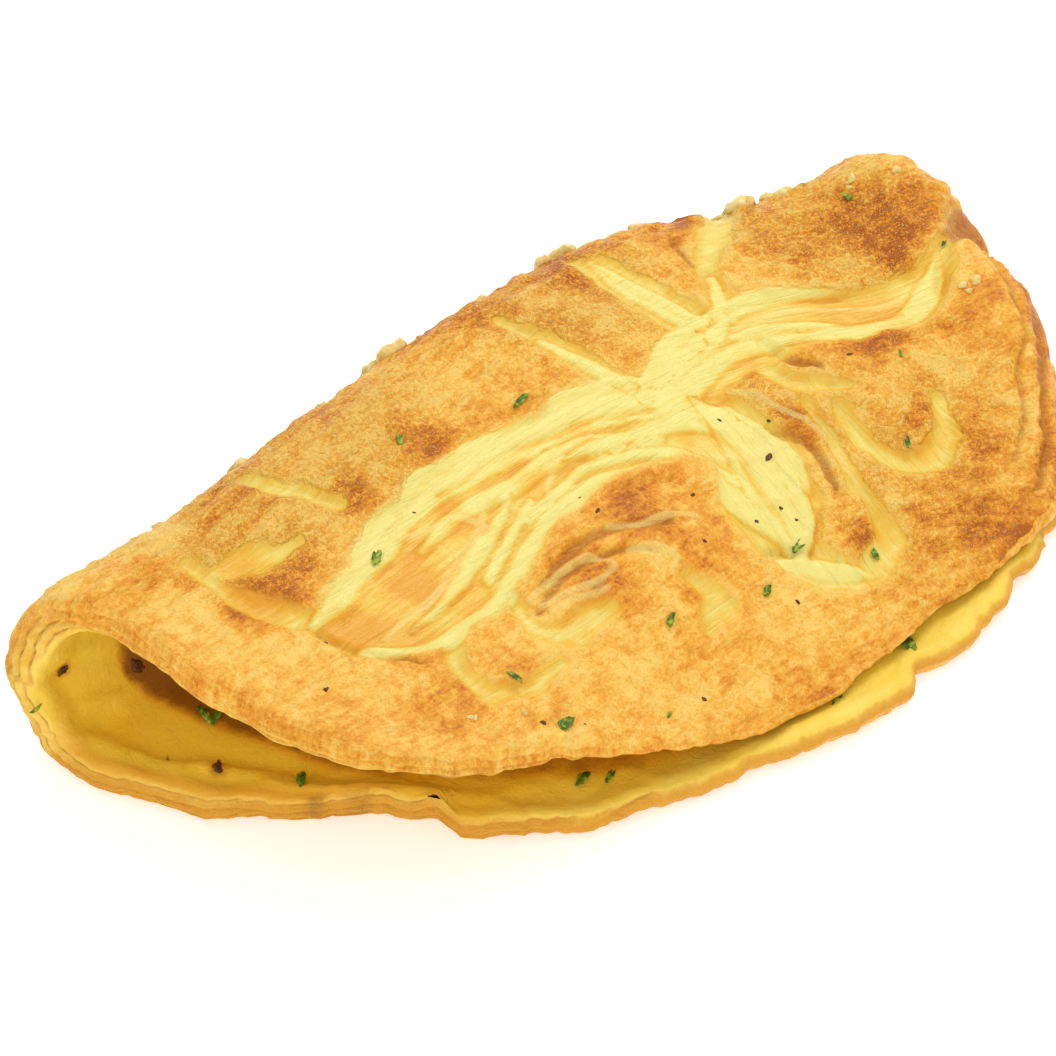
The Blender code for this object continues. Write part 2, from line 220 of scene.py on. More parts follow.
# Browned places: (x, w, radius, amount)
TOAST = (
    (-10, 8, 22, 0.35), (-50, 6, 22, 0.35), (40, 8, 20, 0.35), (94, 50, 9, 0.35), (-40, 26, 18, 0.2),
    (-62, 27, 14, 0.45), (-63, 41, 8, 0.5), (-74, 45, 10, 0.95), (2, 77, 9, 0.3), (-66, 82, 10, 0.25),
    (-92, 28, 10, 0.25), (-48, 38, 6, 0.6), (-28, 36, 8, 0.45), (24, 20, 12, 0.55), (12, 34, 9, 0.35),
    (76, 31, 14, 0.75), (74, 40, 7, 0.35), (60, 32, 8, 0.55), (80, 60, 12, 0.5), (58, 56, 9, 0.5),
    (33, 70, 7, 0.5), (60, 80, 12, 0.4), (50, 97, 14, 0.4), (31, 93, 6, 0.55), (-6, 70, 8, 0.45),
    (-20, 76, 9, 0.45), (-6, 86, 7, 0.35), (-45, 98, 14, -0.12), (-62, 82, 9, 0.12), (90, 30, 10, 0.35),
    (34, 55, 5, 0.6), (0, -6, 40, 0.35), (-70, -8, 30, 0.35), (60, -4, 30, 0.35), (20, 100, 12, 0.05),
    (-86, 30, 9, 0.15),
)
# Brownness of the crust away from them
TOAST_MEAN = 0.27
# Scorched places of the rim and the pocket, and spots of painted shade in the pocket: (x, w, radius, amount)
CHARRED_AND_SHADED_SPOTS = ((-60, -20, 20, 0.5), (-99, -3, 3, 0.5), (-87, -46, 3, 0.5), (-85, -13, 4, 0.5), (-80, -65, 5, 0.9),
         (-75, -70, 6, 0.9), (96, -30, 14, 0.8), (98, 38, 7, 0.8), (88, 68, 8, 0.5))
# Painted shade, deep brown, in the hollow of the pocket under the flap's lip: (x, w, half width)
LIP_SHADE_PATH = ((-84, 2, 3), (-81, -10, 6), (-78, -20, 8), (-75, -32, 7.5), (-72, -42, 6), (-63, -56, 8),
          (-46, -74, 9), (-20, -94, 8), (5, -104, 4))
# Ridges of torn inner layers in the pocket: (x, w, half width)
POCKET_RIDGES = (
    ((-106, 2, 0.6), (-102, -11, 1.2), (-102, -18, 1.3), (-98, -26, 1.3), (-95, -34, 1.4), (-91, -41, 1.4),
     (-86, -46, 1.3), (-82, -53, 1.2), (-80, -58, 0.8)),
    ((-106, -6, 0.5), (-102, -20, 1.0), (-100, -28, 1.0), (-98, -38, 0.8)),
    ((-101, -12, 0.5), (-96, -14, 0.9), (-89, -17, 0.5)),
    ((-100, 4, 0.6), (-94, -1, 1.1), (-88, -3, 1.2), (-83, -9, 0.8)),
    ((-96, 12, 0.6), (-88, 6, 1.2), (-78, 2, 1.0), (-70, -8, 0.8)),
    ((-80, -56, 0.8), (-70, -68, 1.2), (-58, -80, 1.2), (-44, -90, 1.0), (-30, -100, 0.6)),
)
# Rough, finely crackled places: (x, w, radius, amount)
GRAIN = ((-40, 28, 26, 1.0), (-66, 34, 20, 1.0), (20, 24, 26, 0.9), (70, 30, 26, 0.9), (60, 70, 26, 0.7),
         (40, 90, 24, 0.6), (0, 0, 50, 0.8), (-70, 0, 40, 0.8), (70, 0, 40, 0.8), (33, 62, 10, 0.8))

# Herb leaves on the crust: (x, w, turn in degrees, length in mm)
HERBS_TOP = (
    (-8, 41, 20, 4.0), (-32, 34, 60, 3.0), (-52, 50, 45, 3.4), (-48, 82, 110, 3.0), (-15, 88, 40, 3.4),
    (6, 92, 20, 2.6), (18, 88, 15, 4.4), (49, 78, 50, 2.6), (78, 22, 90, 2.4), (86, 40, 30, 2.4),
    (-46, 93, 5, 4.6), (30, 95, 80, 2.6), (-26, 100, 30, 1.6), (60, 60, 70, 1.4),
)
HERBS_FLOOR = (
    (-79, -36, 30, 4.8), (-81, -34, 80, 4.2), (-78, -58, 50, 3.4), (-107, -6, 10, 2.4), (-92, -38, 60, 1.4),
    (-41, -93, 10, 3.6), (-37, -96, 25, 3.4), (5, -112, 20, 3.6), (24, -110, 70, 5.0),
)
BROWN_BITS_TOP = (
    (25, 72, 0.7), (1, 80, 0.4), (14, 81, 0.35), (-70, 57, 0.6), (-50, 91, 0.5), (-43, 95, 0.4),
    (-12, 62, 0.3), (30, 66, 0.4), (10, 96, 0.4), (-40, 47, 0.3), (-78, 66, 0.5), (-18, 101, 0.5),
    (22, 62, 0.35), (20, 81, 0.35), (21, 84, 0.3), (52, 58, 0.4), (-12, 66, 0.5), (6, 72, 0.4),
)
BROWN_BITS_FLOOR = (
    (-99, -3, 0.9), (-85, -13, 1.3), (-83, -10, 1.0), (-87, -46, 1.1), (-60, -70, 0.5), (-70, -50, 0.4),
    (-64, -62, 0.5), (-102, 0, 0.6),
)
CRUMBS = (
    (-72, 8, 2.0), (-52, 7, 2.2), (-18, 10, 3.0), (-13, 9, 2.2), (24, 6, 3.2), (29, 7, 2.8), (33, 6, 2.0),
    (46, 8, 2.2), (60, 7, 2.2), (67, 8, 3.0), (71, 9, 2.2), (81, 20, 0.9), (87, 24, 0.9), (81, 52, 1.0),
    (-34, 8, 1.5), (6, 8, 1.8), (-60, 84, 0.6), (-52, 88, 0.6),
)


# ---- numbers over the sheet

def smooth(value):
    t = np.clip(value, 0.0, 1.0)
    return t * t * (3 - 2 * t)


def along(position, knots):
    """A smooth curve through the knots."""
    spots = np.array([knot[0] for knot in knots], float)
    values = np.array([knot[1] for knot in knots], float)
    gaps = np.diff(spots)
    rises = np.diff(values) / gaps
    slopes = np.empty(len(spots))
    slopes[0] = rises[0]
    slopes[-1] = rises[-1]
    slopes[1:-1] = (rises[:-1] * gaps[1:] + rises[1:] * gaps[:-1]) / (gaps[:-1] + gaps[1:])
    position = np.clip(position, spots[0], spots[-1])
    cell = np.clip(np.searchsorted(spots, position) - 1, 0, len(gaps) - 1)
    t = (position - spots[cell]) / gaps[cell]
    start = (1 + 2 * t) * (1 - t) ** 2 * values[cell] + t * (1 - t) ** 2 * gaps[cell] * slopes[cell]
    end = t * t * (3 - 2 * t) * values[cell + 1] + t * t * (t - 1) * gaps[cell] * slopes[cell + 1]
    return start + end


def lattice(i, j, seed):
    """The same number from -1 to 1 each time for a corner of a square grid."""
    n = (i * 374761393 + j * 668265263 + seed * 974634777) & 0x7FFFFFFF
    n = ((n ^ (n >> 13)) * 1274126177) & 0x7FFFFFFF
    return ((n ^ (n >> 16)) & 0xFFFF) / 32767.5 - 1


def noise(x, y, size, seed):
    """Smooth bumps about size across, from -1 to 1."""
    u, v = x / size, y / size
    i, j = np.floor(u).astype(np.int64), np.floor(v).astype(np.int64)
    a, b = smooth(u - i), smooth(v - j)
    low = lattice(i, j, seed) * (1 - a) + lattice(i + 1, j, seed) * a
    high = lattice(i, j + 1, seed) * (1 - a) + lattice(i + 1, j + 1, seed) * a
    return low * (1 - b) + high * b


def layered(x, y, size, seed, layers=3):
    """Noise with ever finer noise on it, from -1 to 1."""
    total = waves(x, y, [(0.5 ** k, size / 2 ** k, seed + k) for k in range(layers)])
    return total / (2 - 2 / 2 ** layers)


def waves(x, y, layers):
    """Sum of noises, each given as its strength, size and seed."""
    return sum(strength * noise(x, y, size, seed) for strength, size, seed in layers)


def bell(value, middle, spread):
    """1 at the middle, falling off to 0 on both sides."""
    return np.exp(-((value - middle) / spread) ** 2)


def ridged(x, y, size, seed):
    """Thin crests between broad hollows, 0 to 1."""
    return 1 - np.abs(noise(x, y, size, seed) + 0.5 * noise(x, y, size / 2, seed + 9)) / 1.5


def smooth_path(points, step=1.5):
    """More points on a smooth curve through the given ones."""
    points = np.array(points, float)
    lengths = np.hypot(*np.diff(points[:, :2], axis=0).T)
    reach = np.concatenate([[0], np.cumsum(lengths)])
    spots = np.linspace(0, reach[-1], max(int(reach[-1] / step), 2) + 1)
    return np.stack([along(spots, list(zip(reach, points[:, k]))) for k in range(points.shape[1])], 1)


def path_field(x, w, points, margin=FAR):
    """For each place: how far inside the path's width it lies, how far along it, and how far across."""
    path = smooth_path(points)
    inside = np.full(x.shape, -margin)
    reach = np.zeros(x.shape)
    across = np.zeros(x.shape)
    pad = margin + path[:, 2].max()
    low, high = path[:, :2].min(0) - pad, path[:, :2].max(0) + pad
    near = (x > low[0]) & (x < high[0]) & (w > low[1]) & (w < high[1])
    px, pw = x[near], w[near]
    best, run, side = inside[near], reach[near], across[near]
    passed = 0.0
    for (x0, w0, h0), (x1, w1, h1) in zip(path[:-1], path[1:]):
        dx, dw = x1 - x0, w1 - w0
        length = np.hypot(dx, dw)
        share = np.clip(((px - x0) * dx + (pw - w0) * dw) / length ** 2, 0, 1)
        off_x, off_w = px - x0 - share * dx, pw - w0 - share * dw
        depth = h0 + (h1 - h0) * share - np.hypot(off_x, off_w)
        closer = depth > best
        best = np.where(closer, depth, best)
        run = np.where(closer, passed + share * length, run)
        side = np.where(closer, (dx * off_w - dw * off_x) / length, side)
        passed += length
    inside[near], reach[near], across[near] = best, run, side
    return inside, reach, across


def spots_field(x, w, spots):
    """Sum of soft round spots, each given as its x, w, radius and amount."""
    total = np.zeros(x.shape)
    for middle_x, middle_w, radius, amount in spots:
        away = np.hypot(x - middle_x, w - middle_w) / radius
        total += amount * smooth(1.15 - away)
    return total


# ---- the sheet's surfaces, in mm

def rim_scale(angle):
    degrees = np.abs(np.degrees(angle))
    swell = np.where(angle > 0, along(degrees, RIM_UPPER), along(degrees, RIM_LOWER))
    return 1 + swell / RIM_MEAN


def sheet_angle(x, w):
    return np.arctan2(w / WIDTH_HALF, x / LENGTH_HALF)


def rim_noise(angle, layers, depth=0.0):
    """Noises along the rim, in mm, at a depth through its thickness."""
    run = angle * RIM_MEAN
    return waves(run, depth + 0 * run, layers)


def torn_edge(angle):
    """How far the torn rim stands in or out of its smooth line, in mm."""
    degrees = np.degrees(angle)
    lower = smooth(-angle / RIM_SIDE_BLEND)
    torn = TEAR_STEP * smooth((132 + degrees) / 3.0) * smooth((-98 - degrees) / 22)
    torn += sum(size * bell(degrees, middle, spread) for middle, spread, size in TEAR_LOBES)
    short_lip = -LIP_SHORT * smooth(angle / RIM_SIDE_BLEND) * bell(degrees, 117, 14)
    return rim_noise(angle, TORN_NOISE) * (0.8 + 0.5 * lower) + lower * torn + short_lip


def sheet_radius(x, w):
    return np.minimum(np.hypot(x / LENGTH_HALF, w / WIDTH_HALF) / rim_scale(sheet_angle(x, w)), 1)


def fold_arc(x):
    return pi / 2 * np.sqrt((along(x, FOLD_DEPTH) ** 2 + (along(x, FOLD_HEIGHT) / 2) ** 2) / 2)


def flap_height(x, run):
    height = along(x, FOLD_HEIGHT)
    return height - (height - along(x, FLAP_EDGE)) * np.clip(run / FLAP_RUN, 0, 1) ** FLAP_BOW


def end_drop(x, radius):
    inward = np.clip((1 - radius) / END_ROUND_SHARE, 0, 1)
    return 1 - smooth((x - END_START) / (END_FULL - END_START)) * (1 - np.sqrt(1 - (1 - inward) ** 2))


def plain_crust(x, w):
    """The smooth outer surface, without any marks."""
    arc = fold_arc(x)
    run = np.maximum(np.abs(w) - arc, 0)
    bend = np.clip(w / arc, -1, 1) * pi / 2
    height = along(x, FOLD_HEIGHT)
    y = along(x, FOLD_LINE) + along(x, FOLD_DEPTH) * np.cos(bend) - run
    drop = end_drop(x, sheet_radius(x, w))
    top = flap_height(x, run)
    flap = np.minimum(END_RIM_HEIGHT + (top - END_RIM_HEIGHT) * drop, top)
    bent = (END_RIM_HEIGHT + (height - END_RIM_HEIGHT) * drop) / 2 * (1 + np.sin(bend))
    return np.stack([x, y, np.where(w > arc, flap, bent)], -1)


def plain_pocket(x, w, radius):
    """The smooth inner surface, and the gap between the layers."""
    arc = fold_arc(x)
    run = np.maximum(np.abs(w) - arc, 0)
    inward = smooth((1 - radius) * RIM_MEAN / RIM_BLEND)
    floor = FLOOR_RIM + (FLOOR - FLOOR_RIM) * inward
    closed = smooth((x - CLOSED_START) / (CLOSED_FULL - CLOSED_START))
    openness = (1 - (1 - along(x, POCKET)) * inward) * (1 - closed)
    top = flap_height(x, np.where(w > arc, run, 0.0))
    lip = along(x, FLAP_LIP)
    thick = lip + (FLAP_THICK - lip) * inward
    gap = SLIT + np.maximum(top - FLOOR - SLIT - thick, 0) * openness
    bend = np.clip(w / arc, -1, 1) * pi / 2
    depth = np.maximum(along(x, FOLD_DEPTH) - POCKET_BACK_WALL, POCKET_BACK_MIN)
    depth = depth * np.clip(gap / POCKET_ROUND, 0.25, 1)
    y = along(x, FOLD_LINE) + depth * np.cos(bend) - run
    return np.stack([x, y, floor + (FLOOR + gap - floor) / 2 * (1 + np.sin(bend))], -1), gap


def normals(surface, x, w, step=0.4):
    across = surface(x + step, w) - surface(x - step, w)
    down = surface(x, w + step) - surface(x, w - step)
    normal = np.cross(down, across)
    return normal / np.linalg.norm(normal, axis=-1, keepdims=True)


def deepest(x, w, paths, shift=0.0, drift=(0.0, 0.0)):
    """How far inside any of the paths each place lies, with the places drifted a share of the way."""
    x, w = x + shift * drift[0], w + shift * drift[1]
    return np.max([path_field(x, w, path)[0] for path in paths], axis=0)


def ribbon_fields(x, w):
    """Ribbons lying over one another in order: how deep inside the top one, how high, how golden; the golden
    tone holds painted shading that makes one side of each ribbon paler.
    """
    top = np.full(x.shape, -FAR)
    height = np.zeros(x.shape)
    tone = np.zeros(x.shape)
    for number, path in enumerate(RIBBONS):
        inside, reach, across = path_field(x, w, path)
        cover = smooth(inside / 0.6)
        edge = 1 - np.clip(inside / RIBBON_ROUND, 0, 1)
        side = np.clip(across / RIBBON_SHADED_SIDE, -1, 1)
        strand = noise(reach, across * 5, 10, 141 + number)
        height = height * (1 - 0.6 * cover) + 0.16 * strand * cover
        height += RIBBON_HEIGHT * np.sqrt(1 - edge ** 2) * (1 - 0.25 * side)
        # Painted shading: the tone runs across each ribbon, so one side comes out paler than the other
        tone = tone * (1 - cover) + cover * (0.6 * strand - side)
        top = np.where(inside > 0, inside, np.maximum(top, inside))
    return top, height, tone


def crust_marks(x, w):
    """Every field that the crust's shape and colour are made from."""
    shift_x, shift_w = waves(x, w, SHIFT_X), waves(x, w, SHIFT_W)
    drift = (shift_x, shift_w)
    soft = deepest(x, w, SOFT_ZONES, 1.0, drift)
    ribbon, height, strand = ribbon_fields(x + 0.4 * shift_x, w + 0.4 * shift_w)
    thread = deepest(x, w, THREADS, 0.4, drift)
    crease = deepest(x, w, CREASES, 0.6, drift)
    seam = deepest(x, w, SEAMS, 0.5, drift)
    toast = spots_field(x, w, TOAST) + TOAST_MEAN + 0.24 * layered(x, w, 16, 31) + 0.08 * layered(x, w, 4, 35)
    inset = (1 - sheet_radius(x, w)) * RIM_MEAN
    # Two lines run along the rim of the closed end; the rim, the fold and the crust beside the soft
    # zones are browner
    end = smooth((x - 45) / 20) * smooth((w - 10) / 15)
    lines = np.maximum(0.8 - np.abs(inset - 2.8 - 0.5 * shift_x), 0.4 - np.abs(inset - 6.2 - 0.7 * shift_w))
    crease = np.maximum(crease, lines * end - FAR * (1 - end))
    toast += end * (0.45 * bell(inset, 3.2, 1.0) + 0.4 * bell(inset, 0, 1.6))
    toast += 0.22 * bell(inset, 0, 2.5) * smooth((w - 20) / 20)
    toast += 0.25 * bell(inset, 60, 60) * smooth((14 - w) / 10)
    toast += 0.16 * bell(soft, -3.0, 1.8) * smooth((x + 70) / 20)
    gold = spots_field(x + shift_x, w + shift_w, GOLD) + 0.1 * layered(x, w, 6, 37)
    grain = np.clip(spots_field(x, w, GRAIN), 0, 1)
    # Wrinkles run along the fold at the back and wind about elsewhere
    back = smooth((46 - w) / 12) * smooth((40 - x) / 30)
    streaks = ridged((x + 2 * shift_x) * 0.3, w + 0.12 * x + 0.8 * shift_w, 2.8, 61) ** 3
    worms = ridged(x + 1.5 * shift_x, w + 1.5 * shift_w, 5.5, 65) ** 5
    wrinkle = back * streaks + (1 - back) * worms * (0.35 + 0.65 * smooth((x - 10) / 30))
    return {"soft": soft, "ribbon": ribbon, "height": height, "strand": strand, "thread": thread,
            "crease": crease, "seam": seam, "toast": toast, "gold": gold, "grain": grain, "wrinkle": wrinkle}


def crust_relief(x, w, radius, marks):
    """How far the crust stands out from its plain shape, in mm."""
    relief = np.zeros(x.shape)
    for middle_x, middle_w, spread, height in PUFFS:
        relief += height * smooth(1 - np.hypot(x - middle_x, w - middle_w) / spread)
    sunk = smooth((marks["soft"] + 1.6) / 3.0)
    relief -= SOFT_DEPTH * sunk
    relief += marks["height"]
    relief += 0.35 * smooth((marks["thread"] + 0.7) / 1.2)
    relief -= 0.35 * sunk * np.clip(marks["gold"], 0, 1)
    relief -= CREASE_DEPTH * smooth((marks["crease"] + 0.8) / 1.6)
    relief -= 0.45 * smooth((marks["seam"] + 0.7) / 1.1)
    crust = 1 - sunk
    relief += crust * (0.55 * layered(x, w, 13, 51) + 0.32 * layered(x, w, 5, 55))
    relief += crust * 0.85 * marks["wrinkle"]
    relief += smooth((26 - w) / 12) * (0.5 * layered(x, w, 7, 57) + 0.3 * noise(x, w, 2.6, 59))
    relief += crust * marks["grain"] * 0.12 * noise(x, w, 1.9, 71)
    inset = (1 - radius) * RIM_MEAN
    fade = smooth(inset / 3.0 + 0.25)
    return relief * fade * smooth((w + 18) / 16)


def lip_wave(angle):
    """Height that the flap's lip waves up by, in mm."""
    return LIP_LIFT + rim_noise(angle, LIP_WAVES)


def edge_lift(x, w, radius):
    """Both layers' edges wave a little, the flap's more than the lower one's."""
    upper, lower = smooth((w - 30) / 15), smooth((-w - 30) / 15)
    return smooth((radius - 0.93) / 0.07) * lip_wave(sheet_angle(x, w)) * (upper * 0.9 + lower * 0.7)


def pocket_relief(x, w, radius, gap):
    """The pocket's torn inner layers and soft unevenness, in mm."""
    inset = (1 - radius) * RIM_MEAN
    left = smooth((-45 - x) / 25)
    edge = 2.6 + 3.6 * left + rim_noise(sheet_angle(x, w), ((0.8 + 1.4 * left, 12, 91), (0.5, 3.5, 93)))
    ledge = 0.9 * smooth((edge - inset) / 0.9)
    second = 0.55 * left * smooth((edge * 0.5 - inset) / 0.8)
    room = smooth((gap - 1.0) / 4.0)
    lower = smooth((-w - 20) / 12)
    uneven = 0.3 * layered(x, w, 12, 95) + 0.1 * noise(x, w, 2.4, 97)
    ridge = deepest(x, w, POCKET_RIDGES, 0.8, (noise(x, w, 5, 121), noise(x, w, 5, 123)))
    uneven = uneven + 0.9 * smooth((ridge + 1.2) / 2.0)
    folds = 0.45 * left * ridged(x + 0.4 * w, w * 0.3, 6.0, 99) ** 4
    return (ledge + second) * np.maximum(lower * 0.8, room) + (uneven + folds) * np.maximum(room, 0.5 * lower)


# ---- the omelette's mesh

def sheet_grid():
    u = np.linspace(-1, 1, COLUMNS + 1)[:, None]
    under = np.linspace(-1, TOP_ROWS_FROM, UNDER_ROWS + 1)[:-1]
    v = np.concatenate([under, np.linspace(TOP_ROWS_FROM, 1, TOP_ROWS + 1)])[None, :]
    disc_x = u * np.sqrt(1 - v * v / 2)
    disc_w = v * np.sqrt(1 - u * u / 2)
    radius = np.minimum(np.hypot(disc_x, disc_w), 1)
    angle = np.arctan2(disc_w, disc_x)
    scale = 1 + (rim_scale(angle) - 1) * radius ** 2
    scale = scale + torn_edge(angle) / RIM_MEAN * smooth((radius - 0.88) / 0.12)
    return disc_x * scale * LENGTH_HALF, disc_w * scale * WIDTH_HALF, radius, angle


def rim_loop(columns, rows):
    front = [(i, 0) for i in range(columns)]
    right = [(columns, j) for j in range(rows)]
    back = [(i, rows) for i in range(columns, 0, -1)]
    left = [(0, j) for j in range(rows, 0, -1)]
    return np.array(front + right + back + left)


def rim_rings(near, far, outward, angle, x):
    """Rounded, flaky edge between the crust's rim and the pocket's."""
    left = smooth((-30 - x) / 40)
    thick = np.linalg.norm(far - near, axis=1)
    rings, shares, layered = [], [], []
    for ring in range(1, RIM_RINGS + 1):
        share = ring / (RIM_RINGS + 1)
        drifted = (share + rim_noise(angle, LAYER_DRIFT)) * (1.3 + 2.6 * left)
        layers = np.abs(drifted % 1.0 - 0.5) * 2
        flakes = (0.2 + 0.75 * left) * (smooth(layers * 1.3) - 0.5)
        rough = rim_noise(angle, RIM_ROUGH, share * thick)
        bulge = RIM_BULGE * np.sin(pi * share) * np.clip(thick / 3.5, 0.4, 1.2)
        out = bulge + (flakes + rough) * np.sin(pi * share) ** 0.5
        rings.append(near * (1 - share) + far * share + outward * out[:, None])
        shares.append(share)
        layered.append(layers)
    return rings, shares, layered


def omelette_arrays():
    x, w, radius, angle = sheet_grid()
    rows = x.shape[1] - 1
    marks = crust_marks(x, w)
    lift = edge_lift(x, w, radius)
    crust = plain_crust(x, w) + crust_relief(x, w, radius, marks)[..., None] * normals(plain_crust, x, w)
    crust[..., 2] += lift
    pocket, gap = plain_pocket(x, w, radius)
    inner = pocket_relief(x, w, radius, gap)
    pocket_normal = -normals(lambda a, b: plain_pocket(a, b, radius)[0], x, w)
    pocket = pocket + inner[..., None] * pocket_normal
    pocket[..., 2] += lift
    rim = tuple(rim_loop(COLUMNS, rows).T)
    outward = (plain_crust(x[rim], w[rim]) - plain_crust(x[rim] * 0.97, w[rim] * 0.97)) * [1, 1, 0]
    outward /= np.linalg.norm(outward, axis=1, keepdims=True)
    rings = rim_rings(crust[rim], pocket[rim], outward, angle[rim], x[rim])
    return x, w, radius, marks, crust, pocket, rim, *rings


def fine_faces(rows):
    i, j = np.meshgrid(np.arange(COLUMNS), np.arange(rows), indexing="ij")
    a = (i * (rows + 1) + j).ravel()
    b = a + rows + 1
    return np.stack([a, a + 1, b + 1, b], 1).tolist()


def coarse_faces(number, rows):
    """Cells of two by two on the pocket's face, keeping every point on its rim."""
    faces = []
    for i in range(0, COLUMNS, 2):
        for j in range(0, rows, 2):
            face = [number[i, j]]
            if j == 0:
                face.append(number[i + 1, 0])
            face.append(number[i + 2, j])
            if i + 2 == COLUMNS:
                face.append(number[COLUMNS, j + 1])
            face.append(number[i + 2, j + 2])
            if j + 2 == rows:
                face.append(number[i + 1, rows])
            face.append(number[i, j + 2])
            if i == 0:
                face.append(number[0, j + 1])
            faces.append([int(n) for n in face])
    return faces


def placed(name, data):
    piece = bpy.data.objects.new(name, data)
    bpy.context.collection.objects.link(piece)
    return piece


def make_omelette():
    x, w, radius, marks, crust, pocket, rim, rings, shares, layered_rim = omelette_arrays()
    rows = x.shape[1] - 1
    points = [crust.reshape(-1, 3)] + rings
    count = crust[..., 0].size
    size = len(rim[0])
    numbers = np.arange(count).reshape(x.shape)
    ring_numbers = [numbers[rim]]
    for ring in range(RIM_RINGS):
        ring_numbers.append(count + ring * size + np.arange(size))
    first = count + RIM_RINGS * size
    keep = np.zeros(x.shape, bool)
    keep[::2, ::2] = True
    keep[rim] = True
    inner_numbers = np.full(x.shape, -1)
    inner_numbers[keep] = first + np.arange(keep.sum())
    points.append(pocket[keep])
    ring_numbers.append(inner_numbers[rim])
    faces = fine_faces(rows) + coarse_faces(inner_numbers, rows)
    for upper, lower in zip(ring_numbers[:-1], ring_numbers[1:]):
        faces += np.stack([upper, np.roll(upper, -1), np.roll(lower, -1), lower], 1).tolist()
    points = np.vstack(points)
    points[:, :2] -= SHEET_MIDDLE
    points[:, 2] = np.maximum(points[:, 2], 0)
    mesh = bpy.data.meshes.new("omelette_egg")
    mesh.from_pydata((points * MM).tolist(), [], faces)
    mesh.update()

    def spread(values, at_rings, inside):
        """One value for each point: on the crust, round the rim, in the pocket."""
        at_rings = [np.broadcast_to(value, size) for value in at_rings]
        return np.concatenate([values.ravel(), *at_rings, np.broadcast_to(inside, keep.sum())])

    sheet_x, sheet_w = (spread(values, [values[rim]] * RIM_RINGS, values[keep]) for values in (x, w))
    # Painted shade along the hollow under the flap's lip, weaker towards the right; it joins the scorched
    # places in one field
    lip_shade = smooth((path_field(sheet_x, sheet_w, LIP_SHADE_PATH)[0] + 2.5) / 5.0)
    lip_shade *= 1 - 0.45 * smooth((sheet_x + 74) / 14)
    inset = (1 - radius) * RIM_MEAN
    flaky = smooth((30 - sheet_w) / 30) * (0.45 + 0.55 * smooth((20 - sheet_x) / 60))
    fields = {
        "toast": spread(marks["toast"], [0.1] * RIM_RINGS, 0.0),
        "layer": spread(np.ones(x.shape), layered_rim, 1.0),
        "inside": spread(np.zeros(x.shape), shares, 1.0),
        "inset": spread(inset, [0.0] * RIM_RINGS, inset[keep]),
        "flaky": flaky,
        # Scorched places, and painted shade in the pocket's hollow under the flap's lip
        "charred_and_shaded": spots_field(sheet_x, sheet_w, CHARRED_AND_SHADED_SPOTS) + lip_shade,
    }
    for name in ("soft", "ribbon", "thread", "crease", "seam"):
        fields[name] = spread(marks[name], [-FAR] * RIM_RINGS, -FAR)
    for name in ("strand", "gold", "wrinkle", "grain"):
        fields[name] = spread(marks[name], [0.0] * RIM_RINGS, 0.0)
    for name, values in fields.items():
        mesh.attributes.new(name, "FLOAT", "POINT").data.foreach_set("value", values.astype(np.float32))
    sheet = np.stack([sheet_x, sheet_w, 0 * sheet_x], 1).astype(np.float32)
    mesh.attributes.new("sheet", "FLOAT_VECTOR", "POINT").data.foreach_set("vector", sheet.ravel())
    mesh.shade_smooth()
    return placed("omelette_egg", mesh)


# ---- materials

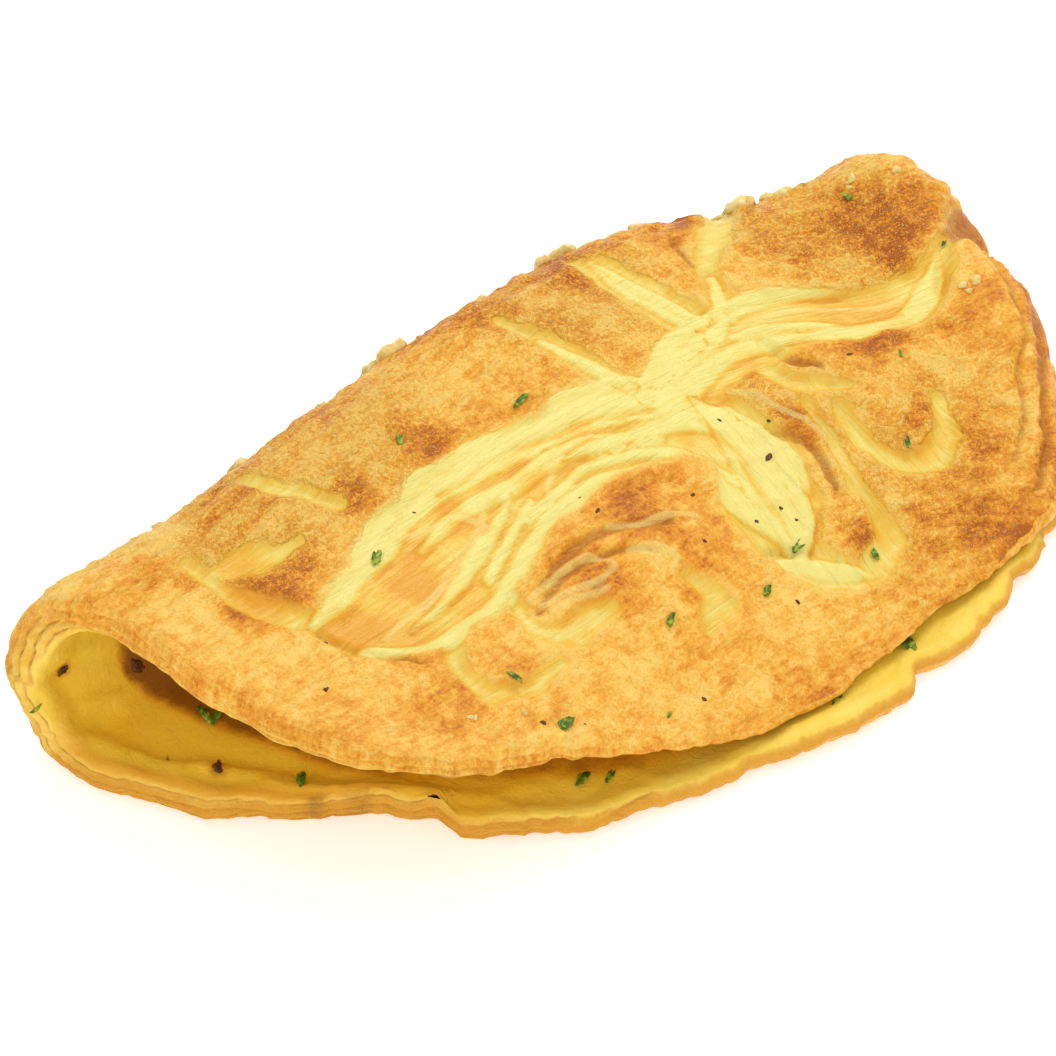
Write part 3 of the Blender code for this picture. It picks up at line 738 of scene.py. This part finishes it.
class Shader:
    """A material's node tree, with short calls that add and join its nodes."""

    def __init__(self, name):
        self.material = bpy.data.materials.new(name)
        self.material.use_nodes = True
        self.tree = self.material.node_tree
        self.surface = self.tree.nodes["Principled BSDF"]

    def connect(self, socket, value):
        """Link another node's output to a socket, or set the socket's value."""
        if isinstance(value, bpy.types.NodeSocket):
            self.tree.links.new(value, socket)
        else:
            socket.default_value = value

    def add(self, kind, inputs=(), **settings):
        node = self.tree.nodes.new(kind)
        for key, value in settings.items():
            setattr(node, key, value)
        for key, value in dict(inputs).items():
            self.connect(node.inputs[key], value)
        return node

    def field(self, name, vector=False):
        node = self.add("ShaderNodeAttribute", attribute_name=name)
        return node.outputs["Vector" if vector else "Fac"]

    def math(self, operation, a, b=0.0, c=0.0):
        return self.add("ShaderNodeMath", {0: a, 1: b, 2: c}, operation=operation).outputs[0]

    def plus(self, a, b):
        return self.math("ADD", a, b)

    def times(self, a, b):
        return self.math("MULTIPLY", a, b)

    def scaled(self, value, factor, shift):
        return self.math("MULTIPLY_ADD", value, factor, shift)

    def swing(self, value, noise, amount):
        """value plus a noise, which moves it by half the amount either way."""
        return self.plus(value, self.scaled(noise, amount, -amount / 2))

    def band(self, value, low, high, to_low=0.0, to_high=1.0):
        """value from low..high to to_low..to_high, eased and clamped."""
        node = self.add("ShaderNodeMapRange", {0: value, 1: low, 2: high, 3: to_low, 4: to_high})
        node.interpolation_type = "SMOOTHSTEP"
        return node.outputs[0]

    def noise(self, vector, scale, detail=3.0, rough=0.55, distortion=0.0):
        inputs = {"Vector": vector, "Scale": scale, "Detail": detail, "Roughness": rough,
                  "Distortion": distortion}
        return self.add("ShaderNodeTexNoise", inputs).outputs["Fac"]

    def stretch(self, vector, scale):
        return self.add("ShaderNodeMapping", {"Vector": vector, "Scale": scale}).outputs[0]

    def mix(self, share, a, b):
        """Colour a, with a share of colour b over it."""
        a, b = ((*colour, 1.0) if isinstance(colour, tuple) else colour for colour in (a, b))
        return self.add("ShaderNodeMix", {0: share, 6: a, 7: b}, data_type="RGBA").outputs[2]

    def ramp(self, value, stops):
        node = self.add("ShaderNodeValToRGB", {0: value})
        ramp = node.color_ramp
        while len(ramp.elements) < len(stops):
            ramp.elements.new(0.5)
        for element, (position, colour) in zip(ramp.elements, stops):
            element.position = position
            element.color = (*colour, 1.0)
        return node.outputs[0]

    def finish(self, colour, roughness, height=None, bump=0.3, distance=0.0005, subsurface=0.0):
        inputs = self.surface.inputs
        self.connect(inputs["Base Color"], colour)
        self.connect(inputs["Roughness"], roughness)
        inputs["Specular IOR Level"].default_value = GLOSS
        if height is not None:
            node = self.add("ShaderNodeBump", {"Height": height, "Strength": bump, "Distance": distance})
            self.connect(inputs["Normal"], node.outputs[0])
        if subsurface:
            inputs["Subsurface Weight"].default_value = subsurface
            inputs["Subsurface Radius"].default_value = SUBSURFACE_RADIUS
            inputs["Subsurface Scale"].default_value = SUBSURFACE_SCALE
        return self.material


GLOSS = 0.25
SUBSURFACE_RADIUS = (1.0, 0.55, 0.2)
SUBSURFACE_SCALE = 0.002
# Colours by position on each ramp, from pale to browned on the crust and from torn to whole inside
CRUST_STOPS = ((0.0, (0.83, 0.53, 0.11)), (0.25, (0.81, 0.42, 0.05)), (0.5, (0.74, 0.305, 0.018)),
               (0.75, (0.62, 0.2, 0.004)), (1.0, (0.38, 0.088, 0.001)))
EGG_STOPS = ((0.0, (0.76, 0.65, 0.18)), (0.3, (0.75, 0.58, 0.12)), (0.6, (0.76, 0.46, 0.05)),
             (1.0, (0.72, 0.33, 0.02)))
INSIDE_STOPS = ((0.0, (0.76, 0.43, 0.014)), (0.4, (0.85, 0.55, 0.035)), (0.7, (0.83, 0.56, 0.06)),
                (1.0, (0.86, 0.66, 0.13)))
RIM_STOPS = ((0.0, (0.58, 0.26, 0.014)), (0.35, (0.75, 0.42, 0.04)), (0.65, (0.82, 0.55, 0.1)),
             (1.0, (0.86, 0.69, 0.24)))
# Pale colour of the painted glints on the crust
PAINTED_GLINT = (0.8, 0.54, 0.16)
CREASE_BROWN = (0.38, 0.12, 0.006)
THREAD_PALE = (0.8, 0.62, 0.18)
# Orange of scorched places and of painted shade under the flap's lip
POCKET_CHARRED_AND_SHADED_ORANGE = (0.78, 0.32, 0.008)
POCKET_EDGE = (0.76, 0.38, 0.03)
RIM_GOLD = (0.68, 0.36, 0.035)
RIM_UNDER = (0.68, 0.31, 0.02)
# Brown of the painted shade in the gaps between the rim's flakes
FLAKE_GAP_SHADE = (0.46, 0.18, 0.01)
# Dark brown of scorched places and of painted shade deep in the pocket
CHARRED_AND_SHADED_BROWN = (0.17, 0.05, 0.006)
HERB_STOPS = ((0.35, (0.035, 0.085, 0.004)), (0.5, (0.12, 0.21, 0.008)), (0.62, (0.4, 0.46, 0.05)))
BROWN_STOPS = ((0.3, (0.035, 0.012, 0.004)), (0.6, (0.13, 0.045, 0.012)), (0.8, (0.3, 0.12, 0.03)))
CRUMB_STOPS = ((0.3, (0.68, 0.42, 0.09)), (0.55, (0.76, 0.58, 0.2)), (0.75, (0.82, 0.7, 0.38)))


def crust_colour(s, place, sheet, fine, middle, broad):
    """Golden to browned crust with painted glints, and how brown it is."""
    grain = s.field("grain")
    brown = s.swing(s.swing(s.field("toast"), broad, 0.9), middle, 1.35)
    speckle = s.scaled(fine, 2.6, -1.3)
    speckle = s.times(speckle, s.scaled(grain, 0.6, 0.35))
    brown = s.plus(brown, speckle)
    brown = s.plus(brown, s.times(s.field("wrinkle"), -0.3))
    streak = s.noise(s.stretch(sheet, (0.22, 0.95, 1)), 1.0, 4, 0.65, 0.5)
    brown = s.plus(brown, s.scaled(streak, 1.0, -0.48))
    brown = s.math("SUBTRACT", brown, s.band(s.field("soft"), -2.0, 0.5, 0.0, 0.25))
    ridge = s.math("ABSOLUTE", s.scaled(s.noise(place, 170, 3, 0.6, 0.8), 2.0, -1.0))
    veins = s.band(ridge, 0.0, 0.07, 1.0, 0.0)
    brown = s.math("SUBTRACT", brown, s.times(veins, 0.16))
    # Painted glints: tiny pale flecks, more of them in the grainy places
    painted_glints = s.times(s.band(fine, 0.56, 0.7), s.scaled(grain, 0.4, 0.22))
    crust = s.mix(painted_glints, s.ramp(brown, CRUST_STOPS), PAINTED_GLINT)
    return s.mix(s.band(s.field("crease"), -0.4, 0.7, 0.0, 0.65), crust, CREASE_BROWN), brown


def film_colour(s, sheet, side, turn_w, middle, broad):
    """Pale ribbons and golden films of soft egg, the strings that run along them, and painted shade along the
    ribbons' edges.
    """
    ribbon = s.field("ribbon")
    # The strand field also carries the ribbons' painted shading, which makes one side of each paler
    gold = s.plus(s.field("gold"), s.scaled(s.field("strand"), -0.24, 0.36))
    gold = s.plus(gold, s.band(s.field("soft"), -1.5, 1.6, 0.35, 0.0))
    downward = s.times(s.band(side, 4, 14), s.band(turn_w, 56, 66))
    strings = s.noise(s.stretch(sheet, (0.07, 0.8, 1)), 1.0, 3, 0.6, 0.8)
    strings_down = s.noise(s.stretch(sheet, (0.8, 0.07, 1)), 1.0, 3, 0.6, 0.8)
    strings = s.add("ShaderNodeMix", {0: downward, 2: strings, 3: strings_down}).outputs[0]
    gold = s.swing(s.swing(s.swing(gold, strings, 0.9), middle, 0.5), broad, 0.4)
    gold = s.math("SUBTRACT", gold, s.band(ribbon, -0.5, 1.3, 0.0, 0.62))
    # Painted shade: the ribbons' edges are made more golden, as the shade in the creases beside them
    gold = s.plus(gold, s.band(s.math("ABSOLUTE", ribbon), 0.0, 0.8, 0.3, 0.0))
    seam = s.band(s.scaled(middle, 0.8, s.field("seam")), -0.3, 0.7)
    gold = s.plus(gold, s.times(seam, 0.55))
    return s.ramp(gold, EGG_STOPS), strings


def pocket_colour(s, place, side, turn_w, middle):
    """Yellow inside of the pocket: orange where it is scorched and where shade is painted in the hollow under
    the flap's lip, and golden at the lower layer's left edge.
    """
    tone = s.times(s.noise(place, 60, 4, 0.55, 0.8), 0.8)
    tone = s.plus(tone, s.times(middle, 0.35))
    tone = s.plus(tone, s.band(s.field("inset"), 0.0, 7.0, 0.15, -0.12))
    inner = s.ramp(tone, INSIDE_STOPS)
    # Orange over scorched places and over painted shade in the hollow under the flap's lip
    inner = s.mix(s.band(s.field("charred_and_shaded"), 0.0, 0.6, 0.0, 0.85), inner, POCKET_CHARRED_AND_SHADED_ORANGE)
    low_rim = s.times(s.band(turn_w, -24, -8, 1.0, 0.0), s.band(side, -80, -50, 1.0, 0.0))
    low_rim = s.times(low_rim, s.band(s.field("inset"), 0.8, 4.0, 0.85, 0.0))
    return s.mix(low_rim, inner, POCKET_EDGE)


def rim_colour(s, place, turn_w, broad, flaky, layers):
    """Pale flaky layers with painted shade in the brown gaps between them, golden towards the crust."""
    rim = s.ramp(s.swing(s.noise(place, 420, 4, 0.65, 0.6), broad, 0.5), RIM_STOPS)
    rim = s.mix(s.scaled(flaky, -0.7, 0.7), rim, RIM_GOLD)
    # Painted shade in the gaps between the flaky layers
    rim = s.mix(s.band(s.field("layer"), 0.05, 0.4, 0.85, 0.0), rim, FLAKE_GAP_SHADE)
    under = s.math("SUBTRACT", layers, s.band(turn_w, -34, -8, 0.42, 0.0))
    return s.mix(s.band(under, 0.22, 0.58, 0.95, 0.0), rim, RIM_UNDER)


def egg_material():
    s = Shader("omelette_egg")
    place = s.add("ShaderNodeTexCoord").outputs["Object"]
    sheet = s.field("sheet", True)
    side, turn_w = s.add("ShaderNodeSeparateXYZ", {0: sheet}).outputs[:2]
    fine = s.noise(place, 1500, 2, 0.7)
    middle = s.noise(place, 320, 4, 0.75, 0.4)
    broad = s.noise(place, 80, 3, 0.55, 0.6)
    inside, flaky = s.field("inside"), s.field("flaky")
    layers = s.swing(inside, middle, 0.3)

    crust, brown = crust_colour(s, place, sheet, fine, middle, broad)
    films, strings = film_colour(s, sheet, side, turn_w, middle, broad)
    torn = s.scaled(middle, 3.0, -1.5)
    soft_share = s.band(s.plus(s.field("soft"), torn), -1.2, 0.5)
    skin = s.mix(soft_share, crust, films)
    thread = s.plus(s.field("thread"), s.times(torn, 0.25))
    skin = s.mix(s.band(thread, -0.5, 0.2, 0.0, 0.55), skin, THREAD_PALE)

    browner = s.ramp(s.plus(brown, 0.28), CRUST_STOPS)
    skin = s.mix(s.band(inside, 0.0, 0.1), skin, browner)
    crust_end = s.scaled(flaky, -0.55, 0.72)
    rim_share = s.band(s.math("SUBTRACT", layers, crust_end), -0.08, 0.1)
    skin = s.mix(rim_share, skin, rim_colour(s, place, turn_w, broad, flaky, layers))
    skin = s.mix(s.band(layers, 0.84, 1.0), skin, pocket_colour(s, place, side, turn_w, middle))
    # Dark brown over scorched places and over the painted shade deep in the pocket's hollow
    charred_and_shaded_share = s.times(s.field("charred_and_shaded"), s.band(inside, 0.02, 0.2))
    charred_and_shaded_share = s.plus(charred_and_shaded_share, s.scaled(middle, 0.9, -0.5))
    skin = s.mix(s.band(charred_and_shaded_share, 0.1, 0.9, 0.0, 0.85), skin, CHARRED_AND_SHADED_BROWN)

    rough = s.swing(s.band(soft_share, 0.0, 1.0, 0.48, 0.33), middle, 0.2)
    height = s.times(fine, s.scaled(s.field("grain"), 0.9, 0.1))
    height = s.times(height, s.band(soft_share, 0, 1, 0.8, 0.0))
    height = s.plus(height, s.times(middle, s.band(soft_share, 0, 1, 1.0, 0.35)))
    height = s.times(height, s.band(inside, 0.5, 1.0, 1.0, 0.35))
    height = s.plus(height, s.times(s.times(strings, soft_share), 0.45))
    return s.finish(skin, rough, height, 1.0, 0.001)


def bit_material(name, scale, detail, stops, rough, bump, depth, subsurface=0.0):
    """One mottled material of the small bits."""
    s = Shader(name)
    tone = s.noise(s.add("ShaderNodeTexCoord").outputs["Object"], scale, detail)
    return s.finish(s.ramp(tone, stops), rough, tone, bump, depth, subsurface)


# ---- herbs, crumbs and browned bits

def lifted(point, normal, x, w, radius):
    """Point in metres in the frame and direction, as vectors."""
    point[..., 2] += edge_lift(x, w, radius)
    point[..., :2] -= SHEET_MIDDLE
    return Vector(point[0] * MM), Vector(normal[0])


def crust_place(x, w):
    """Point and outward direction of the crust, at a place on the sheet."""
    x, w = np.array([float(x)]), np.array([float(w)])
    radius = sheet_radius(x, w)
    normal = normals(plain_crust, x, w)
    relief = crust_relief(x, w, radius, crust_marks(x, w))
    return lifted(plain_crust(x, w) + relief[..., None] * normal, normal, x, w, radius)


def floor_place(x, w):
    """The same on the pocket's floor."""
    x, w = np.array([float(x)]), np.array([float(w)])
    radius = sheet_radius(x, w)
    normal = -normals(lambda a, b: plain_pocket(a, b, sheet_radius(a, b))[0], x, w)
    pocket, gap = plain_pocket(x, w, radius)
    relief = pocket_relief(x, w, radius, gap)
    return lifted(pocket + relief[..., None] * normal, normal, x, w, radius)


def turned(point, normal, degrees):
    """Axes at a point with Z along the normal, turned about it."""
    side = Vector((1, 0, 0)) - normal * normal.x
    side.normalize()
    other = normal.cross(side)
    base = Matrix((side, other, normal)).transposed().to_4x4()
    return Matrix.Translation(point) @ base @ Matrix.Rotation(radians(degrees), 4, "Z")


FLAKE_POINTS = 11
FLAKE_THICK = 0.00025
# Height of a leaf over the crust, which keeps it clear
FLAKE_LIFT = 0.0001
LUMP_RINGS = 9
LUMP_SPOKES = 14


def flake(length, slim, seed):
    """Points and faces of one chopped herb leaf: jagged, creased along its middle, closed."""
    number = np.arange(FLAKE_POINTS)
    turn = 2 * pi * (number + 0.3 * lattice(number, number, seed)) / FLAKE_POINTS
    grow = 1 + 0.3 * lattice(number, 3 * number, seed + 1)
    across = length * slim * grow * np.sin(turn)
    run = length / 2 * grow * np.cos(turn)
    lift = 0.45 * np.abs(across) + 0.1 * length * lattice(number, 5 * number, seed + 2) ** 2 + FLAKE_LIFT
    points = []
    for side in (1, -1):
        points.append((0, 0, FLAKE_LIFT + side * FLAKE_THICK / 2))
        points += list(zip(run, across, lift + side * FLAKE_THICK / 4))
    faces = []
    under = FLAKE_POINTS + 1
    for k in range(FLAKE_POINTS):
        a, b = 1 + k, 1 + (k + 1) % FLAKE_POINTS
        faces += [(0, a, b), (under, under + b, under + a), (a, under + a, under + b, b)]
    return points, faces


def lump(radius, flat, seed, rough):
    """Points and faces of one uneven, torn bit."""
    rings, spokes = LUMP_RINGS, LUMP_SPOKES
    faces = []
    ring, spoke = np.meshgrid(np.arange(1, rings), np.arange(spokes), indexing="ij")
    tilt, turn = pi * ring / rings, 2 * pi * spoke / spokes
    side_x, side_y, up = np.sin(tilt) * np.cos(turn), np.sin(tilt) * np.sin(turn), -np.cos(tilt)
    grow = 1 + rough * noise(side_x * 9 + 5 * up, side_y * 9 - 5 * up, 7, seed)
    grow = grow + rough * 0.7 * noise(side_x * 9 + 4 * up, side_y * 9 + 3 * up, 3, seed + 1)
    stretched = 1 + 0.35 * lattice(np.int64(seed), np.int64(1), 4)
    body = np.stack([side_x * stretched, side_y / stretched, up * flat], -1) * (radius * grow)[..., None]
    points = [(0, 0, -radius * flat)] + [tuple(p) for p in body.reshape(-1, 3)] + [(0, 0, radius * flat)]
    last = len(points) - 1
    for k in range(spokes):
        n = (k + 1) % spokes
        faces.append((0, 1 + n, 1 + k))
        for r in range(rings - 2):
            a = 1 + r * spokes
            faces.append((a + k, a + n, a + spokes + n, a + spokes + k))
        faces.append((last, last - spokes + k, last - spokes + n))
    return points, faces


def joined(name, parts, material):
    """One piece from many small ones, each given as points, faces and its placing matrix."""
    points, faces = [], []
    for local_points, local_faces, matrix in parts:
        start = len(points)
        points += [matrix @ Vector(p) for p in local_points]
        faces += [[start + n for n in face] for face in local_faces]
    mesh = bpy.data.meshes.new(name)
    mesh.from_pydata(points, [], faces)
    mesh.update()
    mesh.shade_smooth()
    mesh.materials.append(material)
    piece = placed(name, mesh)
    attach(piece, "root")
    return piece


def make_herbs():
    parts = []
    for place, herbs in ((crust_place, HERBS_TOP), (floor_place, HERBS_FLOOR)):
        for k, (x, w, turn, length) in enumerate(herbs):
            point, normal = place(x, w)
            parts.append((*flake(length * MM, 0.15 + 0.04 * (k % 3), 400 + k), turned(point, normal, turn)))
    material = bit_material("herb_leaf", 900, 3, HERB_STOPS, 0.45, 0.4, 0.0003)
    return joined("herb_bits", parts, material)


def make_browned_bits():
    parts = []
    for place, bits in ((crust_place, BROWN_BITS_TOP), (floor_place, BROWN_BITS_FLOOR)):
        for k, (x, w, radius) in enumerate(bits):
            point, normal = place(x, w)
            parts.append((*lump(radius * MM, 0.3, 200 + k, 0.4), turned(point, normal, 47 * k)))
    material = bit_material("browned_bit", 1200, 3, BROWN_STOPS, 0.5, 0.6, 0.0003)
    return joined("browned_bits", parts, material)


def make_crumbs():
    """Each crumb is a heap of three lumps, the next smaller than the last."""
    parts = []
    for k, (x, w, radius) in enumerate(CRUMBS):
        for n in range(3):
            aside, across = (lattice(np.int64(k), np.int64(n), seed) for seed in (5, 6))
            point, normal = crust_place(x + 1.3 * radius * aside, w + 0.9 * radius * across)
            body = lump(radius * (1.0 - 0.22 * n) * MM, 0.6, 300 + 3 * k + n, 0.42)
            parts.append((*body, turned(point, normal, 61 * k + 40 * n)))
    material = bit_material("egg_crumb", 500, 4, CRUMB_STOPS, 0.42, 0.5, 0.0004, 0.15)
    return joined("egg_crumbs", parts, material)


# ---- floor, light and camera

WHITE = (1.0, 1.0, 1.0, 1.0)
FLOOR_HALF = 3.0
FLOOR_COLOUR = (0.93, 0.93, 0.925, 1.0)
# The floor glows a little, so that it comes out nearly white with faint shadows
FLOOR_GLOW = 0.32
WORLD_STRENGTH = 0.9
# Area lights: name, place, target, size in metres, power in watts
LIGHTS = (("key", (0.55, 0.3, 0.75), (0, 0, 0.01), 0.5, 4.0),
          ("fill", (-0.62, -0.52, 0.4), (-0.05, -0.02, 0.02), 0.6, 1.6))


def make_floor():
    mesh = bpy.data.meshes.new("floor")
    corners = [(a * FLOOR_HALF, b * FLOOR_HALF, 0) for a, b in ((-1, -1), (1, -1), (1, 1), (-1, 1))]
    mesh.from_pydata(corners, [], [(0, 1, 2, 3)])
    s = Shader("floor")
    s.surface.inputs["Emission Color"].default_value = WHITE
    s.surface.inputs["Emission Strength"].default_value = FLOOR_GLOW
    mesh.materials.append(s.finish(FLOOR_COLOUR, 0.9))
    placed("floor", mesh)


def area_light(name, place, target, size, power):
    data = bpy.data.lights.new(name, "AREA")
    data.size = size
    data.energy = power
    light = placed(name, data)
    light.location = place
    light.rotation_euler = (Vector(target) - Vector(place)).to_track_quat("-Z", "Y").to_euler()


def make_light():
    world = bpy.data.worlds.new("studio")
    world.use_nodes = True
    background = world.node_tree.nodes["Background"]
    background.inputs["Color"].default_value = WHITE
    background.inputs["Strength"].default_value = WORLD_STRENGTH
    bpy.context.scene.world = world
    for light in LIGHTS:
        area_light(*light)


# Camera: angles in degrees, distance in metres, lens and sensor in millimetres
CAMERA_TURN = -39.3
CAMERA_RISE = 44.0
CAMERA_DISTANCE = 0.9
CAMERA_LENS = 175.2
CAMERA_SENSOR = 36
CAMERA_TARGET = (-0.0117, 0.0109, 0.012)


def make_camera():
    data = bpy.data.cameras.new("camera")
    data.lens = CAMERA_LENS
    data.sensor_width = CAMERA_SENSOR
    camera = placed("camera", data)
    turn, rise = radians(CAMERA_TURN), radians(CAMERA_RISE)
    back = Vector((np.sin(turn) * np.cos(rise), -np.cos(turn) * np.cos(rise), np.sin(rise)))
    camera.location = Vector(CAMERA_TARGET) + back * CAMERA_DISTANCE
    camera.rotation_euler = (-back).to_track_quat("-Z", "Y").to_euler()
    bpy.context.scene.camera = camera
    bpy.context.scene.view_settings.view_transform = "Standard"


omelette = make_omelette()
omelette.data.materials.append(egg_material())
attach(omelette, "root")
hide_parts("omelette")
make_crumbs()
make_browned_bits()
make_herbs()
make_floor()
make_light()
make_camera()
